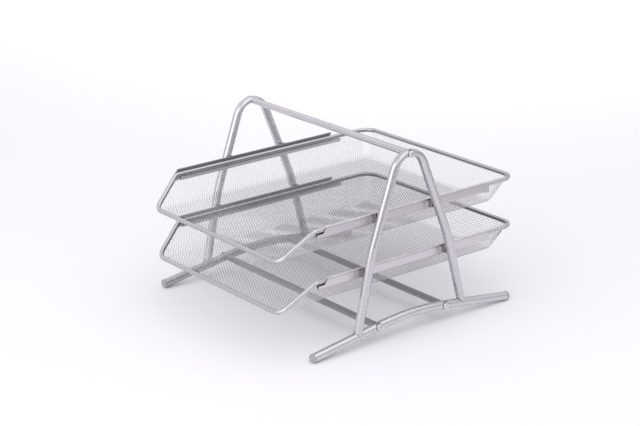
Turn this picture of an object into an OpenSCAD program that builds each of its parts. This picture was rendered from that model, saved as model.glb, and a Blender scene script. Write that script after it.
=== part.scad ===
// Two-tier desk letter tray. Two bent-tube side frames stand on arched feet, three bars tie them together,
// and two mesh trays hang by their rim wires in slide rails and pull out to the front.
// Millimetres. +X is to the right, the front is -Y and +Z is up. The origin lies on the desk, under the middle of the trays.

/* [Side frames] */
// Outside diameter of the leg and foot tubes
tube_d = 10.6; // [10:0.2:12]
// Wall thickness of the leg and foot tubes
tube_t = 1; // [0.8:0.1:1.4]
// Distance from the middle of the tray to each side frame
frame_x = 155.8; // [154.8:0.2:158]
// Position of the middle of the side frames, front to back
frame_y = -5.15; // [-9:0.05:-1]
// Height of the slight bend in each leg
knee_z = 110; // [104:1:116]
// Distance of that bend from the middle of the frame
knee_y = 56.6; // [53:0.1:60]
// Run of the lower leg, per unit of height
lower_lean = 0.24; // [0.18:0.005:0.28]
// Run of the upper leg, per unit of height
upper_lean = 0.375; // [0.36:0.005:0.39]
// Bend radius of the arch at the top
arch_r = 22.9; // [19:0.1:25]

/* [Feet] */
// Position of the middle of the feet, front to back
foot_y = -1.5; // [-6:0.1:4]
// Half length of a foot over its end caps
foot_half = 150; // [140:0.1:160]
// Slope of the straight ends, in degrees
foot_slope = 8.2; // [7:0.1:9.5]
// Bend radius in the middle of a foot
foot_bend_r = 350; // [280:10:400]
// How far the end caps stand out round the tube
cap_over = 0.4; // [0.3:0.1:1]
// Length of an end cap's head
cap_len = 3.6; // [3.4:0.1:8]

/* [Cross bars] */
// Diameter of the handle bar and of the two low bars
bar_d = 8; // [7:0.1:9]
// Distance of each low bar from the middle of the frame
bar_y = 50.4; // [48:0.1:53]

/* [Screws] */
// Shank diameter
screw_d = 4; // [3:0.1:4.5]
// Head diameter
screw_head_d = 8.2; // [7:0.1:9]
// Head height
screw_head_h = 2.4; // [1.8:0.1:2.8]

/* [Trays] */
// Rim wire diameter
rim_d = 5.5; // [4.6:0.1:5.6]
// Depth of a tray over its rim wire
tray_depth = 350; // [340:0.5:360]
// Distance from the middle to the side runs of the rim wire
rim_x = 141.4; // [141:0.05:141.5]
// Height of the upper tray's rim
rim_z_upper = 149; // [146:0.1:152]
// Height from tier to tier
tier = 61.2; // [58:0.1:64]
// Depth from the rim to the mesh floor
tray_h = 31.5; // [28:0.1:34]
// Half width of the rim wire at the front
front_x = 126.6; // [125:0.1:128]
// Run of the wire's slope from the side to the front
slope_y = 40.1; // [36:0.1:44]
// Bend radius of the rim at the rear corners
rear_r = 18; // [14:0.5:24]
// Bend radius of the rim at the front corners
front_r = 15; // [12:0.5:18]
// Bend radius where the wire turns down
drop_r = 10; // [7:0.5:11]
// Half width of the mesh floor
floor_x = 122; // [120:0.1:123]
// Thickness of the mesh sheet
sheet_t = 0.8; // [0.6:0.1:1.2]

/* [Rails] */
// Outer face of the rail webs
rail_x = 145.6; // [145.5:0.05:146]
// Sheet thickness of the rails
rail_t = 1; // [0.8:0.1:1.1]
// Rail height above the rim wire's centre
rail_up = 5.7; // [5:0.1:7]
// Outer radius of the gutter under the wire
gutter_r = 2.9; // [2.7:0.1:3]
// How far the gutter's bend lies below the lip that carries the wire
gutter_drop = 2.5; // [0.5:0.5:3]
// Half length of the gutter
gutter_half = 124.7; // [110:0.1:124.8]
// Length of the web from the frame's middle to its short end
web_short = 116.5; // [100:0.5:117]
// Length of the web from the frame's middle to its long end
web_long = 133; // [128:0.5:136]
// How far the left-hand rails sit behind the right-hand ones
rail_shift = 4; // [0:0.5:6]

/* [Hidden] */
$fn = 64;
tube_r = tube_d / 2;
rim_r = rim_d / 2;
gap = 0.1;
// legs
peak_z = knee_z + knee_y / upper_lean;
arch_half = atan(upper_lean);
apex_z = peak_z - arch_r / sin(arch_half) + arch_r;
// feet
cap_r = tube_r + cap_over;
cap_edge = 2.4;
cap_flat = 0.45;
cap_body = cap_len - cap_edge;
foot_end = foot_half - cap_len * cos(foot_slope);
foot_end_z = cap_r / cos(foot_slope) - cap_flat + cap_body * sin(foot_slope);
foot_peak_z = foot_end_z + foot_end * tan(foot_slope);
bar_z = foot_axis_z(bar_y);
// trays
rim_z_lower = rim_z_upper - tier;
rear_y = tray_depth / 2 - rim_r;
front_y = -rear_y;
drop_y = front_y + slope_y;
floor_rear = rear_y - 20.4;
// rails
rail_in = rail_x - rail_t;
gutter_x = rail_x - gutter_r;
gutter_z = -3.1;
bend_z = gutter_z - gutter_drop;
rail_low = bend_z - gutter_r;
bracket_low = gutter_z - gutter_r;

silver = [0.74, 0.74, 0.75];
pale = [0.80, 0.80, 0.81];
steel = [0.62, 0.62, 0.64];

// ---- helpers

function unit(v) = v / norm(v);
function bend_t(a, p, b, rad) = rad / tan(acos(unit(a - p) * unit(b - p)) / 2);
function arc(c, r, a0, a1, n) = [for (i = [0:n]) c + r * [cos(a0 + (a1 - a0) * i / n), sin(a0 + (a1 - a0) * i / n)]];

// Height of the foot tube's axis where the frame's own y is y
function foot_axis_z(y) = let (s = abs(y + frame_y - foot_y), b = foot_bend_r * sin(foot_slope))
    s > b ? foot_end_z + (foot_end - s) * tan(foot_slope)
          : foot_peak_z - foot_bend_r / cos(foot_slope) + sqrt(foot_bend_r * foot_bend_r - s * s);
// Distance of a leg from the frame's middle at height z
function leg_y(z) = z > knee_z ? knee_y - upper_lean * (z - knee_z) : knee_y + lower_lean * (knee_z - z);

module placed(c, ex, ey, ez)
    multmatrix([[ex.x, ey.x, ez.x, c.x], [ex.y, ey.y, ez.y, c.y], [ex.z, ey.z, ez.z, c.z], [0, 0, 0, 1]]) children();

// A straight round bar from a to b
module rod(a, b, r) {
    ez = unit(b - a);
    ex = abs(ez.z) < 0.9 ? unit(cross([0, 0, 1], ez)) : unit(cross([1, 0, 0], ez));
    placed(a, ex, cross(ez, ex), ez) cylinder(r = r, h = norm(b - a));
}

// The bend of radius rad at corner p of the path a, p, b
module elbow(a, p, b, rad, r) {
    u = unit(a - p);
    w = unit(b - p);
    phi = acos(u * w);
    c = p + unit(u + w) * rad / sin(phi / 2);
    s = p + u * rad / tan(phi / 2) - c;
    e = p + w * rad / tan(phi / 2) - c;
    ex = unit(s);
    ez = unit(cross(s, e));
    placed(c, ex, cross(ez, ex), ez) rotate_extrude(angle = 180 - phi) translate([rad, 0]) circle(r = r);
}

// A round bar bent along a path. The straights run a little way into the bends, which are a hair thicker.
// An open path is longer by ends at each end.
module bent(pts, radii, r, ends = 0, closed = false) {
    n = len(pts);
    t = [for (i = [0:n - 1]) (closed || (i > 0 && i < n - 1))
            ? bend_t(pts[(i + n - 1) % n], pts[i], pts[(i + 1) % n], radii[i]) - 0.4 : -ends];
    for (i = [0:n - 1]) if (closed || (i > 0 && i < n - 1))
        elbow(pts[(i + n - 1) % n], pts[i], pts[(i + 1) % n], radii[i], r + 0.03);
    for (i = [0:closed ? n - 1 : n - 2]) {
        j = (i + 1) % n;
        d = unit(pts[j] - pts[i]);
        rod(pts[i] + d * t[i], pts[j] - d * t[j], r);
    }
}

// A tube bent along an open path
module bent_tube(pts, radii, r, ri) difference() {
    bent(pts, radii, r);
    bent(pts, radii, ri, 1);
}

// Hole and seat for a screw that enters from +X at (y, z)
module screw_cut(y, z) {
    translate([frame_x - 2 * tube_r, y, z]) rotate([0, 90, 0]) cylinder(d = screw_d + 0.3, h = 4 * tube_r);
    translate([frame_x + tube_r - 0.8, y, z]) rotate([0, 90, 0]) cylinder(d = screw_head_d + 0.6, h = tube_r);
}

// Pan head screw with a cross recess, entering from +X
module screw_at(y, z) {
    h = screw_head_h;
    r = screw_head_d / 2;
    translate([frame_x + tube_r - 0.75, y, z]) rotate([0, 90, 0]) difference() {
        union() {
            rotate_extrude() polygon(concat([[0, 0], [r - 0.2, 0], [r, 0.3], [r, h * 0.35]],
                [for (a = [30:15:75]) [r * 0.55 + r * 0.45 * cos(a), h * 0.35 + h * 0.65 * sin(a)]], [[r * 0.5, h], [0, h]]));
            translate([0, 0, -tube_d - 10]) cylinder(d = screw_d, h = tube_d + 10);
        }
        for (a = [0, 90]) rotate([0, 0, a + 45]) translate([-r * 0.55, -0.5, h - 1.2]) cube([r * 1.1, 1, 2]);
    }
}

module to_left() mirror([1, 0, 0]) children();
module half_turn() translate([0, 2 * frame_y, 0]) rotate([0, 0, 180]) children();

// ---- side frames

module leg_frame() {
    zf = [for (s = [-1, 1]) foot_axis_z(s * leg_y(16)) + 3];
    difference() {
        translate([frame_x, frame_y, 0])
            bent_tube([[0, -leg_y(zf[0]), zf[0]], [0, -knee_y, knee_z], [0, 0, peak_z], [0, knee_y, knee_z], [0, leg_y(zf[1]), zf[1]]],
                [0, 150, arch_r, 150, 0], tube_r, tube_r - tube_t);
        for (s = [-1, 1]) rod([frame_x, foot_y + s * foot_end, foot_end_z],
            [frame_x, foot_y + s * 55, foot_end_z + (foot_end - 55) * tan(foot_slope)], tube_r + 0.05);
        screw_cut(frame_y, apex_z);
    }
}

module foot_tube() difference() {
    translate([frame_x, foot_y, 0])
        bent_tube([[0, -foot_end, foot_end_z], [0, 0, foot_peak_z], [0, foot_end, foot_end_z]], [0, foot_bend_r, 0], tube_r, tube_r - tube_t);
    for (s = [-1, 1]) screw_cut(frame_y + s * bar_y, bar_z);
}

// End cap: a plug in the tube and a rounded head with a small flat to stand on
module foot_cap(s) difference() {
    translate([frame_x, foot_y + s * foot_end, foot_end_z]) rotate([s > 0 ? -90 - foot_slope : 90 + foot_slope, 0, 0]) rotate_extrude()
        polygon(concat([[0, -9], [tube_r - tube_t - 0.5, -9], [tube_r - tube_t - 0.05, -8], [tube_r - tube_t - 0.05, 0], [cap_r - 0.3, 0], [cap_r, 0.3]],
            arc([cap_r - cap_edge, cap_body], cap_edge, 0, 75, 5), [[cap_r - cap_edge - 0.2, cap_len - 0.02], [0, cap_len]]));
    translate([frame_x - 50, foot_y - 300, -50]) cube([100, 600, 50]);
}

module leg_frame_right() color(silver) leg_frame();
module leg_frame_left() color(silver) to_left() leg_frame();
module foot_tube_right() color(silver) foot_tube();
module foot_tube_left() color(silver) to_left() foot_tube();
module foot_cap_front_right() color(pale) foot_cap(-1);
module foot_cap_rear_right() color(pale) foot_cap(1);
module foot_cap_front_left() color(pale) to_left() foot_cap(-1);
module foot_cap_rear_left() color(pale) to_left() foot_cap(1);

// ---- cross bars and screws

module cross_bar(y, z) difference() {
    l = frame_x - tube_r - gap;
    translate([-l, y, z]) rotate([0, 90, 0]) cylinder(d = bar_d, h = 2 * l);
    for (s = [-1, 1]) translate([s > 0 ? l - 12 : -l - 1, y, z]) rotate([0, 90, 0]) cylinder(d = screw_d + 0.1, h = 13);
}

module handle_bar() color(silver) cross_bar(frame_y, apex_z);
module lower_bar_front() color(silver) cross_bar(frame_y - bar_y, bar_z);
module lower_bar_rear() color(silver) cross_bar(frame_y + bar_y, bar_z);
module handle_screws() color(steel) {
    screw_at(frame_y, apex_z);
    to_left() screw_at(frame_y, apex_z);
}
module foot_screws() color(steel) for (s = [-1, 1]) {
    screw_at(frame_y + s * bar_y, bar_z);
    to_left() screw_at(frame_y + s * bar_y, bar_z);
}

// ---- rails

// Rolled top edge, traced from the inner face round to the outer one
function rolled_edge() = concat(arc([rail_in + 1.3, rail_up - 1.3], 1.3, 180, -40, 12), [[rail_x, rail_up - 2.8]]);

module along_y(y0, y1) translate([0, y1, 0]) rotate([90, 0, 0]) linear_extrude(y1 - y0) children();

// Right-hand rail with its rim wire centred at height z
module rail(z) translate([0, frame_y, z]) {
    difference() {
        along_y(-gutter_half, gutter_half) polygon(concat(rolled_edge(),
            arc([gutter_x, bend_z], gutter_r, 0, -180, 14),
            [[gutter_x - gutter_r, gutter_z], [gutter_x - gutter_r + rail_t, gutter_z]],
            arc([gutter_x, bend_z], gutter_r - rail_t, -180, 0, 14)));
        // the web stops short of the gutter at its front end, with a slanted cut up to the rolled edge
        translate([rail_in - 1, 0, 0]) rotate([90, 0, 90]) linear_extrude(6)
            polygon([[-gutter_half - 5, gutter_z], [-web_short, gutter_z], [-web_short + 5.6, rail_up - 2.8], [-web_short + 3, rail_up - 2.7],
                [-web_short + 3, rail_up + 1], [-gutter_half - 5, rail_up + 1]]);
    }
    // plain end of the web behind the gutter, with its top corner cut on the slant
    difference() {
        along_y(gutter_half, web_long) polygon(concat(rolled_edge(), [[rail_x, rail_low], [rail_in, rail_low]]));
        translate([rail_in - 1, 0, 0]) rotate([90, 0, 90]) linear_extrude(6)
            polygon([[web_long - 9.6, rail_up + 0.01], [web_long - 7.2, rail_up - 0.8], [web_long - 2, rail_up - 4.7], [web_long - 0.5, rail_up - 6.3], [web_long, rail_up - 8],
                [web_long + 5, rail_up - 8], [web_long + 5, rail_up + 5], [web_long - 9.6, rail_up + 5]]);
    }
}

// Hat-shaped stand-off between a rail and a leg, at the frame's own y. Its hat ends a little above the foot of the rail,
// its flanges and the feet of its sides end under the rolled edge.
module stand_off(y, z) translate([0, frame_y + y, z + bracket_low + 0.2]) {
    x0 = rail_x + 0.02;
    x1 = frame_x - tube_r - 0.05;
    xr = rail_in + 2.9;
    t = 0.9;
    w = 4.6;
    h = rail_up - bracket_low - 0.6;
    difference() {
        linear_extrude(h) polygon([[x0, -w - 5], [x0, -w + t], [x1 - t, -w + t], [x1 - t, w - t], [x0, w - t], [x0, w + 5],
            [x0 + t, w + 5], [x0 + t, w], [x1, w], [x1, -w], [x0 + t, -w], [x0 + t, -w - 5]]);
        translate([x0 - 1, -w - 6, h - 2.8]) cube([xr - x0 + 1, 2 * w + 12, 3]);
    }
}

module rail_brackets(z) for (s = [-1, 1]) stand_off(s * leg_y(z), z);

module rail_upper_right() color(silver) rail(rim_z_upper);
module rail_upper_left() color(silver) translate([0, rail_shift, 0]) half_turn() rail(rim_z_upper);
module rail_lower_right() color(silver) rail(rim_z_lower);
module rail_lower_left() color(silver) translate([0, rail_shift, 0]) half_turn() rail(rim_z_lower);
module rail_brackets_upper_right() color(silver) rail_brackets(rim_z_upper);
module rail_brackets_upper_left() color(silver) half_turn() rail_brackets(rim_z_upper);
module rail_brackets_lower_right() color(silver) rail_brackets(rim_z_lower);
module rail_brackets_lower_left() color(silver) half_turn() rail_brackets(rim_z_lower);

// ---- trays

// Rim wire: level round the sides and the back, sloping down to the mesh floor at the front
module rim_wire(z) bent([[rim_x, rear_y, z], [rim_x, drop_y, z], [front_x, front_y, z - tray_h],
    [-front_x, front_y, z - tray_h], [-rim_x, drop_y, z], [-rim_x, rear_y, z]],
    [rear_r, drop_r, front_r, front_r, drop_r, rear_r], rim_r, 0, true);

// Tapered block with the basket's outline: k takes it in on every side, y0 is its front end
module pan(k, z0, z1, y0) hull() {
    for (s = [-1, 1]) {
        translate([s * (floor_x - 7), floor_rear - 7, z0]) cylinder(r = 7 - k, h = 0.02, $fn = 32);
        translate([s * (rim_x - 2.5 - 15.5), rear_y - 2.5 - 15.5, z1]) cylinder(r = 15.5 - k, h = 0.02, $fn = 32);
        translate([s * (floor_x - k) - (s > 0 ? 1 : 0), y0, z0]) cube([1, 1, 0.02]);
        translate([s * (rim_x - 2.5 - k) - (s > 0 ? 1 : 0), y0, z1]) cube([1, 1, 0.02]);
    }
}

// Mesh basket as a closed sheet: flat floor, three leaning walls, open at the front under the sloping wire
module mesh_basket(z) {
    zf = z - tray_h;
    slope = atan(tray_h / slope_y);
    difference() {
        pan(0, zf - sheet_t / 2, z - 1, front_y + rim_r + 0.15);
        pan(sheet_t, zf + sheet_t / 2, z - 0.5, front_y - 20);
        // below the sloping front wires
        intersection() {
            translate([-200, drop_y, z]) rotate([slope, 0, 0]) translate([0, -120, -rim_r - 0.15]) cube([400, 170, 100]);
            translate([-200, -300, zf + sheet_t / 2]) cube([400, 600, 100]);
        }
        // round the front corners of the floor
        for (s = [-1, 1]) translate([s * (floor_x - 6), front_y + rim_r + 6.15, zf - 5]) difference() {
            translate([s > 0 ? 0 : -12, -12, 0]) cube([12, 12, 10]);
            translate([0, 0, -1]) cylinder(r = 6, h = 12, $fn = 32);
        }
    }
}

module rim_wire_upper() color(silver) rim_wire(rim_z_upper);
module rim_wire_lower() color(silver) rim_wire(rim_z_lower);
module mesh_basket_upper() color(pale) mesh_basket(rim_z_upper);
module mesh_basket_lower() color(pale) mesh_basket(rim_z_lower);

leg_frame_right();
leg_frame_left();
foot_tube_right();
foot_tube_left();
foot_cap_front_right();
foot_cap_rear_right();
foot_cap_front_left();
foot_cap_rear_left();
handle_bar();
lower_bar_front();
lower_bar_rear();
handle_screws();
foot_screws();
rail_upper_right();
rail_upper_left();
rail_lower_right();
rail_lower_left();
rail_brackets_upper_right();
rail_brackets_upper_left();
rail_brackets_lower_right();
rail_brackets_lower_left();
rim_wire_upper();
rim_wire_lower();
mesh_basket_upper();
mesh_basket_lower();
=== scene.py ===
import math

import bpy
import numpy as np
from mathutils import Matrix, Vector


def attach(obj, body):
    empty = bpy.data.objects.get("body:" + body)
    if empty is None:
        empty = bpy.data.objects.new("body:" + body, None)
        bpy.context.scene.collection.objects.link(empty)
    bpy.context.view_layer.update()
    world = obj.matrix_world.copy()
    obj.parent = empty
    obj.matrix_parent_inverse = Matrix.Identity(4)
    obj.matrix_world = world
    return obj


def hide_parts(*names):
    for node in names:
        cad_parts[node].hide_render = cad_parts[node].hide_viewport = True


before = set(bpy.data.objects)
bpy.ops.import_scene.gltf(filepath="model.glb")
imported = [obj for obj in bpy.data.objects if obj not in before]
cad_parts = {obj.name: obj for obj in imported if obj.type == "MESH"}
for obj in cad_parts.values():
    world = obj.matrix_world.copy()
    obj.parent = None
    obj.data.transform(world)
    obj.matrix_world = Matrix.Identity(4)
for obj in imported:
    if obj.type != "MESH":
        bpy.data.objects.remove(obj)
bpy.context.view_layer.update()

MM = 0.001

# ---- sizes of the construction, in millimetres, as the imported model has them

TUBE_R = 5.3
FRAME_X, FRAME_Y = 155.8, -5.15
KNEE_Y, KNEE_Z = 56.6, 110.0
LOWER_LEAN, UPPER_LEAN = 0.24, 0.375
ARCH_R = 22.9
PEAK_Z = KNEE_Z + KNEE_Y / UPPER_LEAN
ARCH_HALF = math.atan(UPPER_LEAN)
APEX_Z = PEAK_Z - ARCH_R / math.sin(ARCH_HALF) + ARCH_R
ARCH_C = (FRAME_Y, APEX_Z - ARCH_R)
FOOT_Y, FOOT_HALF, FOOT_BEND_R = -1.5, 150.0, 350.0
FOOT_SLOPE = math.radians(8.2)
CAP_R, CAP_LEN, CAP_EDGE = 5.7, 3.6, 2.4
CAP_BODY = CAP_LEN - CAP_EDGE
FOOT_END = FOOT_HALF - CAP_LEN * math.cos(FOOT_SLOPE)
FOOT_END_Z = CAP_R / math.cos(FOOT_SLOPE) - 0.45 + CAP_BODY * math.sin(FOOT_SLOPE)
FOOT_PEAK_Z = FOOT_END_Z + FOOT_END * math.tan(FOOT_SLOPE)
BAR_R, BAR_Y, BAR_L = 4.0, 50.4, FRAME_X - TUBE_R - 0.15
HEAD_R, HEAD_H = 4.1, 2.4
HEAD_X = FRAME_X + TUBE_R - 0.75
RIM_R, RIM_X, REAR_Y, FRONT_Y, DROP_Y = 2.75, 141.4, 172.25, -172.25, -132.15
FRONT_X, TRAY_H = 126.6, 31.5
REAR_R, DROP_R, FRONT_R = 18.0, 10.0, 15.0
RIM_Z = {"upper": 149.0, "lower": 87.8}
FLOOR_X, FLOOR_REAR = 122.0, REAR_Y - 20.4
RAIL_X, RAIL_T, RAIL_UP = 145.6, 1.0, 5.7
RAIL_IN = RAIL_X - RAIL_T
GUTTER_R, GUTTER_HALF, GUTTER_Z = 2.9, 124.7, -3.1
GUTTER_X = RAIL_X - GUTTER_R
BEND_Z = GUTTER_Z - 2.5                   # the gutter's bend lies below its lip
RAIL_LOW = BEND_Z - GUTTER_R
BRACKET_LOW = GUTTER_Z - GUTTER_R
WEB_SHORT, WEB_LONG, RAIL_SHIFT = 116.5, 133.0, 4.0
LONG_WAY, SHORT_WAY = 6.76, 3.56          # expanded mesh, one diamond


def foot_axis_z(y):
    """Height of a foot tube's axis at y."""
    s, b = abs(y - FOOT_Y), FOOT_BEND_R * math.sin(FOOT_SLOPE)
    if s > b:
        return FOOT_END_Z + (FOOT_END - s) * math.tan(FOOT_SLOPE)
    return FOOT_PEAK_Z - FOOT_BEND_R / math.cos(FOOT_SLOPE) + math.sqrt(FOOT_BEND_R ** 2 - s * s)


def leg_y(z):
    """Distance of a leg from the frame's middle at height z."""
    return KNEE_Y - UPPER_LEAN * (z - KNEE_Z) if z > KNEE_Z else KNEE_Y + LOWER_LEAN * (KNEE_Z - z)


BAR_Z = foot_axis_z(FRAME_Y + BAR_Y)


# ---- mesh helpers (all in millimetres until a piece is made)

def unit(v):
    v = np.asarray(v, float)
    return v / np.linalg.norm(v)


def smooth(t):
    t = np.clip(t, 0.0, 1.0)
    return t * t * (3 - 2 * t)


def bent_path(pts, radii, closed=False, step=4.0, turn=4.0):
    """Points along a path with rounded bends, and for each point the corner it bends round (or -1) with its share of the bend."""
    pts = [np.asarray(p, float) for p in pts]
    n = len(pts)
    arcs = []
    for i in range(n):
        if not closed and i in (0, n - 1):
            arcs.append([pts[i]])
            continue
        a, p, b = pts[i - 1], pts[i], pts[(i + 1) % n]
        u, w = unit(a - p), unit(b - p)
        phi = math.acos(float(np.clip(u @ w, -1, 1)))
        r = radii[i]
        c = p + unit(u + w) * r / math.sin(phi / 2)
        s, e = p + u * r / math.tan(phi / 2) - c, p + w * r / math.tan(phi / 2) - c
        ex = unit(s)
        ey = unit(e - (e @ ex) * ex)
        k = max(4, int(math.ceil(math.degrees(math.pi - phi) / turn)))
        arcs.append([c + r * (ex * math.cos((math.pi - phi) * j / k) + ey * math.sin((math.pi - phi) * j / k)) for j in range(k + 1)])
    out, tag = [], []
    for i in range(n):
        k = len(arcs[i]) - 1
        for j, q in enumerate(arcs[i]):
            out.append(q)
            tag.append((i, j / k if k else 0.0))
        if i == n - 1 and not closed:
            break
        a, b = arcs[i][-1], arcs[(i + 1) % n][0]
        m = max(1, int(round(np.linalg.norm(b - a) / step)))
        for j in range(1, m):
            out.append(a + (b - a) * j / m)
            tag.append((i + 0.5, 0.0))
    return np.array(out), tag


def tangents(path, closed):
    if closed:
        d = np.roll(path, -1, 0) - np.roll(path, 1, 0)
    else:
        d = np.gradient(path, axis=0)
    return d / np.linalg.norm(d, axis=1, keepdims=True)


def grid_quads(n, m, closed_n, closed_m=True):
    """Quads of an n by m grid of vertices, numbered row by row."""
    i = np.arange(n if closed_n else n - 1)
    j = np.arange(m if closed_m else m - 1)
    i, j = np.meshgrid(i, j, indexing="ij")
    i2, j2 = (i + 1) % n, (j + 1) % m
    return np.stack([i * m + j, i * m + j2, i2 * m + j2, i2 * m + j], -1).reshape(-1, 4)


def sweep(path, ra, rb, ref, segs=40, closed=False, caps=True):
    """A bar of elliptic section along a path: ra is its half width towards ref, rb its half width across."""
    path = np.asarray(path, float)
    n = len(path)
    t = tangents(path, closed)
    ref = np.broadcast_to(np.asarray(ref, float), path.shape)
    a = ref - (ref * t).sum(1, keepdims=True) * t
    a /= np.linalg.norm(a, axis=1, keepdims=True)
    b = np.cross(t, a)
    th = np.arange(segs) * 2 * math.pi / segs
    ra = np.broadcast_to(np.asarray(ra, float), (n,))[:, None, None]
    rb = np.broadcast_to(np.asarray(rb, float), (n,))[:, None, None]
    v = path[:, None, :] + ra * np.cos(th)[None, :, None] * a[:, None, :] + rb * np.sin(th)[None, :, None] * b[:, None, :]
    v = v.reshape(-1, 3)
    faces = [grid_quads(n, segs, closed)]
    if caps and not closed:
        v, extra = close_ends(v, n, segs)
        faces += extra
    return v, faces


def close_ends(v, n, m):
    c0, c1 = v[:m].mean(0), v[(n - 1) * m:n * m].mean(0)
    k = len(v)
    v = np.vstack([v, c0, c1])
    j = np.arange(m)
    j2 = (j + 1) % m
    first = np.stack([np.full(m, k), j2, j], -1)
    last = np.stack([np.full(m, k + 1), (n - 1) * m + j, (n - 1) * m + j2], -1)
    return v, [first, last]


def lathe(profile, origin, axis, ref, segs=48):
    """A turned shape: profile is (radius, distance along the axis) from one pole to the other."""
    profile = np.asarray(profile, float)
    ez = unit(axis)
    ex = unit(np.asarray(ref, float) - (np.asarray(ref, float) @ ez) * ez)
    ey = np.cross(ez, ex)
    th = np.arange(segs) * 2 * math.pi / segs
    ring = np.cos(th)[:, None] * ex + np.sin(th)[:, None] * ey
    mid = profile[1:-1]
    v = (np.asarray(origin, float) + mid[:, None, 0, None] * ring[None] + mid[:, None, 1, None] * ez).reshape(-1, 3)
    n = len(mid)
    k = len(v)
    v = np.vstack([v, np.asarray(origin) + profile[0, 1] * ez, np.asarray(origin) + profile[-1, 1] * ez])
    j = np.arange(segs)
    j2 = (j + 1) % segs
    first = np.stack([np.full(segs, k), j2, j], -1)
    last = np.stack([np.full(segs, k + 1), (n - 1) * segs + j, (n - 1) * segs + j2], -1)
    return v, [grid_quads(n, segs, False), first, last]


def strip(centre, half, lo, hi, along, edge=0.22, rows=2):
    """A folded sheet: centre is its middle line in section, lo and hi where each of its stations starts and ends.
    along places a section point and a distance. All its edges are chamfered. The last value tells edge from face."""
    centre = np.asarray(centre, float)
    d = np.gradient(centre, axis=0)
    d /= np.linalg.norm(d, axis=1, keepdims=True)
    nrm = np.stack([-d[:, 1], d[:, 0]], -1)
    lo, hi = np.broadcast_to(np.asarray(lo, float), (len(centre),)), np.broadcast_to(np.asarray(hi, float), (len(centre),))
    # the section's own two edges
    centre = np.vstack([centre[0] - d[0] * 0.0, centre[0] + d[0] * edge, centre[1:-1], centre[-1] - d[-1] * edge, centre[-1]])
    nrm = np.vstack([nrm[0], nrm[0], nrm[1:-1], nrm[-1], nrm[-1]])
    lo = np.concatenate([[lo[0], lo[0]], lo[1:-1], [lo[-1], lo[-1]]])
    hi = np.concatenate([[hi[0], hi[0]], hi[1:-1], [hi[-1], hi[-1]]])
    k = len(centre)
    thick = np.full(k, half)
    thick[[0, -1]] = half - edge
    u = np.concatenate([[0.0], np.linspace(0, 1, rows), [1.0]])
    shift = np.zeros(len(u))
    shift[1], shift[-2] = edge, -edge
    inset = np.ones(len(u))
    inset[[0, -1]] = (half - edge) / half
    m = len(u)
    sides = []
    wear_and_sheen = []
    for s in (1, -1):
        pos = lo[:, None] + (hi - lo)[:, None] * u[None, :] + shift[None, :]
        th = np.minimum(thick[:, None], half * inset[None, :]) * s
        p = centre[:, None, :] + nrm[:, None, :] * th[..., None]
        sides.append(along(p[..., 0].ravel(), p[..., 1].ravel(), pos.ravel()))
        e = np.zeros((k, m))
        e[[0, -1], :] = 1
        e[:, [0, -1]] = 1
        wear_and_sheen.append(e.ravel())
    v = np.vstack(sides)
    top = grid_quads(k, m, False, False)
    nk = k * m
    faces = [top[:, ::-1], top + nk]
    r = np.arange(m - 1)
    faces.append(np.stack([r, r + 1, nk + r + 1, nk + r], -1))
    base = (k - 1) * m
    faces.append(np.stack([base + r, nk + base + r, nk + base + r + 1, base + r + 1], -1))
    q = np.arange(k - 1) * m
    faces.append(np.stack([q, nk + q, nk + q + m, q + m], -1))
    q = q + m - 1
    faces.append(np.stack([q, q + m, nk + q + m, nk + q], -1))
    return v, faces, np.concatenate(wear_and_sheen)


def join(parts):
    """Several (vertices, faces) as one."""
    vs, fs, k = [], [], 0
    for v, f in parts:
        vs.append(v)
        fs += [np.asarray(x) + k for x in f]
        k += len(v)
    return np.vstack(vs), fs


def mirrored(v, f):
    return v * np.array([-1.0, 1, 1]), [np.asarray(x)[:, ::-1] for x in f]


def half_turn(v):
    return np.stack([-v[:, 0], 2 * FRAME_Y - v[:, 1], v[:, 2]], -1)


def outward(v, faces):
    """Turns all faces round if the closed shape is inside out."""
    total = 0.0
    for f in faces:
        f = np.asarray(f)
        for j in range(1, f.shape[1] - 1):
            total += np.einsum("ij,ij->", v[f[:, 0]], np.cross(v[f[:, j]], v[f[:, j + 1]]))
    return faces if total > 0 else [np.asarray(f)[:, ::-1] for f in faces]


def piece(name, v, faces, material, body, slot, node, sharp=35, uv=None, wear_and_sheen=None, shade=None):
    """Makes a mesh object from vertices in millimetres and lists of faces, and puts it in the frame."""
    faces = [np.asarray(f, np.int32) for f in faces if len(f)]
    me = bpy.data.meshes.new(name)
    me.vertices.add(len(v))
    me.vertices.foreach_set("co", (np.asarray(v, float) * MM).astype(np.float32).ravel())
    loops = np.concatenate([f.ravel() for f in faces])
    counts = np.concatenate([np.full(len(f), f.shape[1], np.int32) for f in faces])
    starts = np.concatenate([[0], np.cumsum(counts)[:-1]]).astype(np.int32)
    me.loops.add(len(loops))
    me.loops.foreach_set("vertex_index", loops)
    me.polygons.add(len(counts))
    me.polygons.foreach_set("loop_start", starts)
    me.update(calc_edges=True)
    if uv is not None:
        layer = me.uv_layers.new(name="OFBake")
        layer.data.foreach_set("uv", uv[loops].astype(np.float32).ravel())
    for layer_name, values in (("wear_and_sheen", wear_and_sheen), ("shade", shade)):
        if values is not None:
            att = me.attributes.new(layer_name, "FLOAT", "POINT" if len(values) == len(v) else "FACE")
            att.data.foreach_set("value", np.asarray(values, np.float32))
    me.validate()
    if sharp:
        me.polygons.foreach_set("use_smooth", np.ones(len(me.polygons), bool))
        if sharp < 180:
            me.set_sharp_from_angle(angle=math.radians(sharp))
    else:
        me.polygons.foreach_set("use_smooth", np.zeros(len(me.polygons), bool))
    me.update()
    ob = bpy.data.objects.new(name, me)
    bpy.context.scene.collection.objects.link(ob)
    me.materials.append(material)
    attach(ob, body)
    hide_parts(node)
    return ob


# ---- materials

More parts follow.
